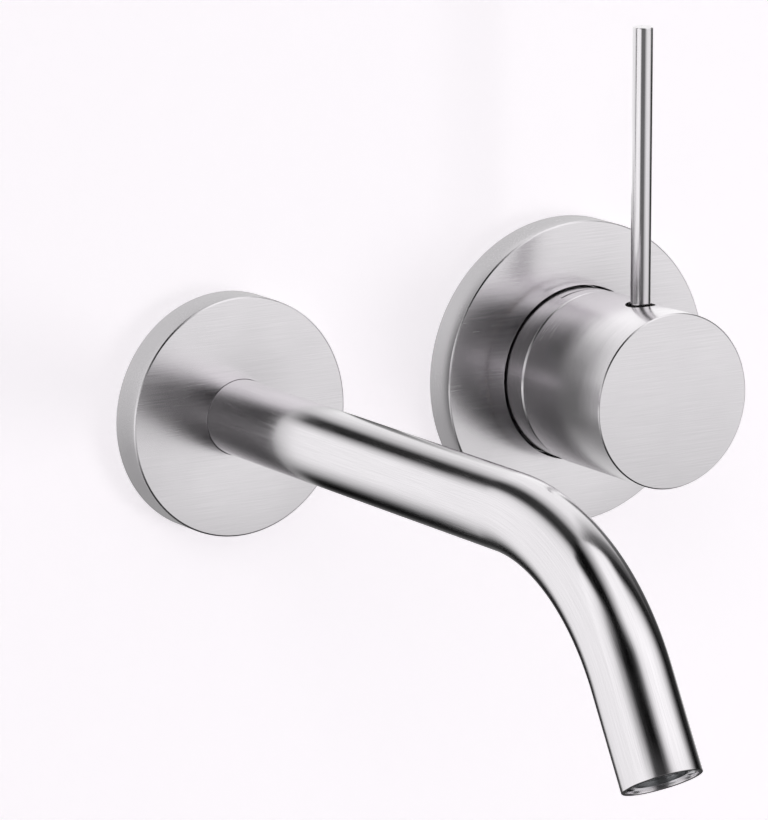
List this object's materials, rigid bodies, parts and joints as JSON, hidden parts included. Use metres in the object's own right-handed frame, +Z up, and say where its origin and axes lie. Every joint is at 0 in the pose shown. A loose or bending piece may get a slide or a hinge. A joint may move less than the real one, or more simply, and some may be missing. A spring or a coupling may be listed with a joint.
{
  "type": "wall-mounted basin mixer",
  "caption": "Concealed wall mixer for a basin: a bent tube spout and a tilting, turning lever handle, each on a round rosette.",
  "frame": {"origin": "where the handle's axis meets the finished wall", "axes": "+Y into the wall, +Z up, +X to the right as the user faces the wall"},
  "size_m": [0.17, 0.2435, 0.1465],
  "materials": {
    "satin_nickel": "satin brushed nickel over brass",
    "raw_brass": "turned and sand-cast brass, uncoated",
    "stainless_steel": "turned stainless steel",
    "zinc_plated_steel": "zinc plated sheet steel",
    "cartridge_plastic": "glass-filled moulded plastic, black",
    "carrier_plastic": "moulded acetal, off-white",
    "alumina_ceramic": "lapped white ceramic",
    "black_rubber": "moulded nitrile rubber",
    "foam_gasket": "closed-cell foam",
    "aerator_plastic": "moulded grey plastic"
  },
  "bodies": {
    "fixed": {"mixer_rosette": "satin_nickel", "spout_rosette": "satin_nickel", "cover_sleeve": "satin_nickel", "spout_tube": "satin_nickel", "mixer_rosette_gasket": "foam_gasket", "spout_rosette_gasket": "foam_gasket", "mixer_rosette_o_ring": "black_rubber", "spout_rosette_o_ring": "black_rubber", "mixer_body": "raw_brass", "cartridge_housing": "cartridge_plastic", "cartridge_base": "cartridge_plastic", "cartridge_nut": "raw_brass", "temperature_limit_ring": "carrier_plastic", "fixed_ceramic_disc": "alumina_ceramic", "disc_seals": "black_rubber", "cartridge_base_seals": "black_rubber", "inlet_filters": "stainless_steel", "link_pipe": "raw_brass", "link_nut_body": "raw_brass", "link_nut_elbow": "raw_brass", "link_seals": "black_rubber", "spout_elbow": "raw_brass", "spout_nipple": "raw_brass", "nipple_o_rings": "black_rubber", "spout_grub_screw": "stainless_steel", "aerator_housing": "aerator_plastic", "aerator_insert": "aerator_plastic", "aerator_mesh": "stainless_steel", "aerator_seal": "black_rubber", "wall_bracket": "zinc_plated_steel", "bracket_screws": "zinc_plated_steel"},
    "turret": {"turret": "carrier_plastic", "stem_pin": "stainless_steel"},
    "disc": {"disc_carrier": "carrier_plastic", "moving_ceramic_disc": "alumina_ceramic"},
    "handle": {"handle_cap": "satin_nickel", "handle_hub": "raw_brass", "lever_rod": "satin_nickel", "stem": "raw_brass", "hub_screws": "stainless_steel", "handle_grub_screw": "stainless_steel", "handle_plug": "satin_nickel"}
  },
  "joints": [
    {"name": "temperature_turn", "type": "hinge", "parent": "fixed", "child": "turret", "pos_m": [0, 0, 0], "axis": [0, 1, 0], "range_deg": [-45, 45]},
    {"name": "flow_tilt", "type": "hinge", "parent": "turret", "child": "handle", "pos_m": [0, -0.005, 0], "axis": [1, 0, 0], "range_deg": [0, 17]},
    {"name": "disc_slide", "type": "slide", "parent": "turret", "child": "disc", "axis": [0, 0, 1], "range_m": [0, 0.0026]}
  ],
  "couplings": [
    {"joint": "disc_slide", "follows": "flow_tilt", "m_per_rad": 0.008}
  ]
}
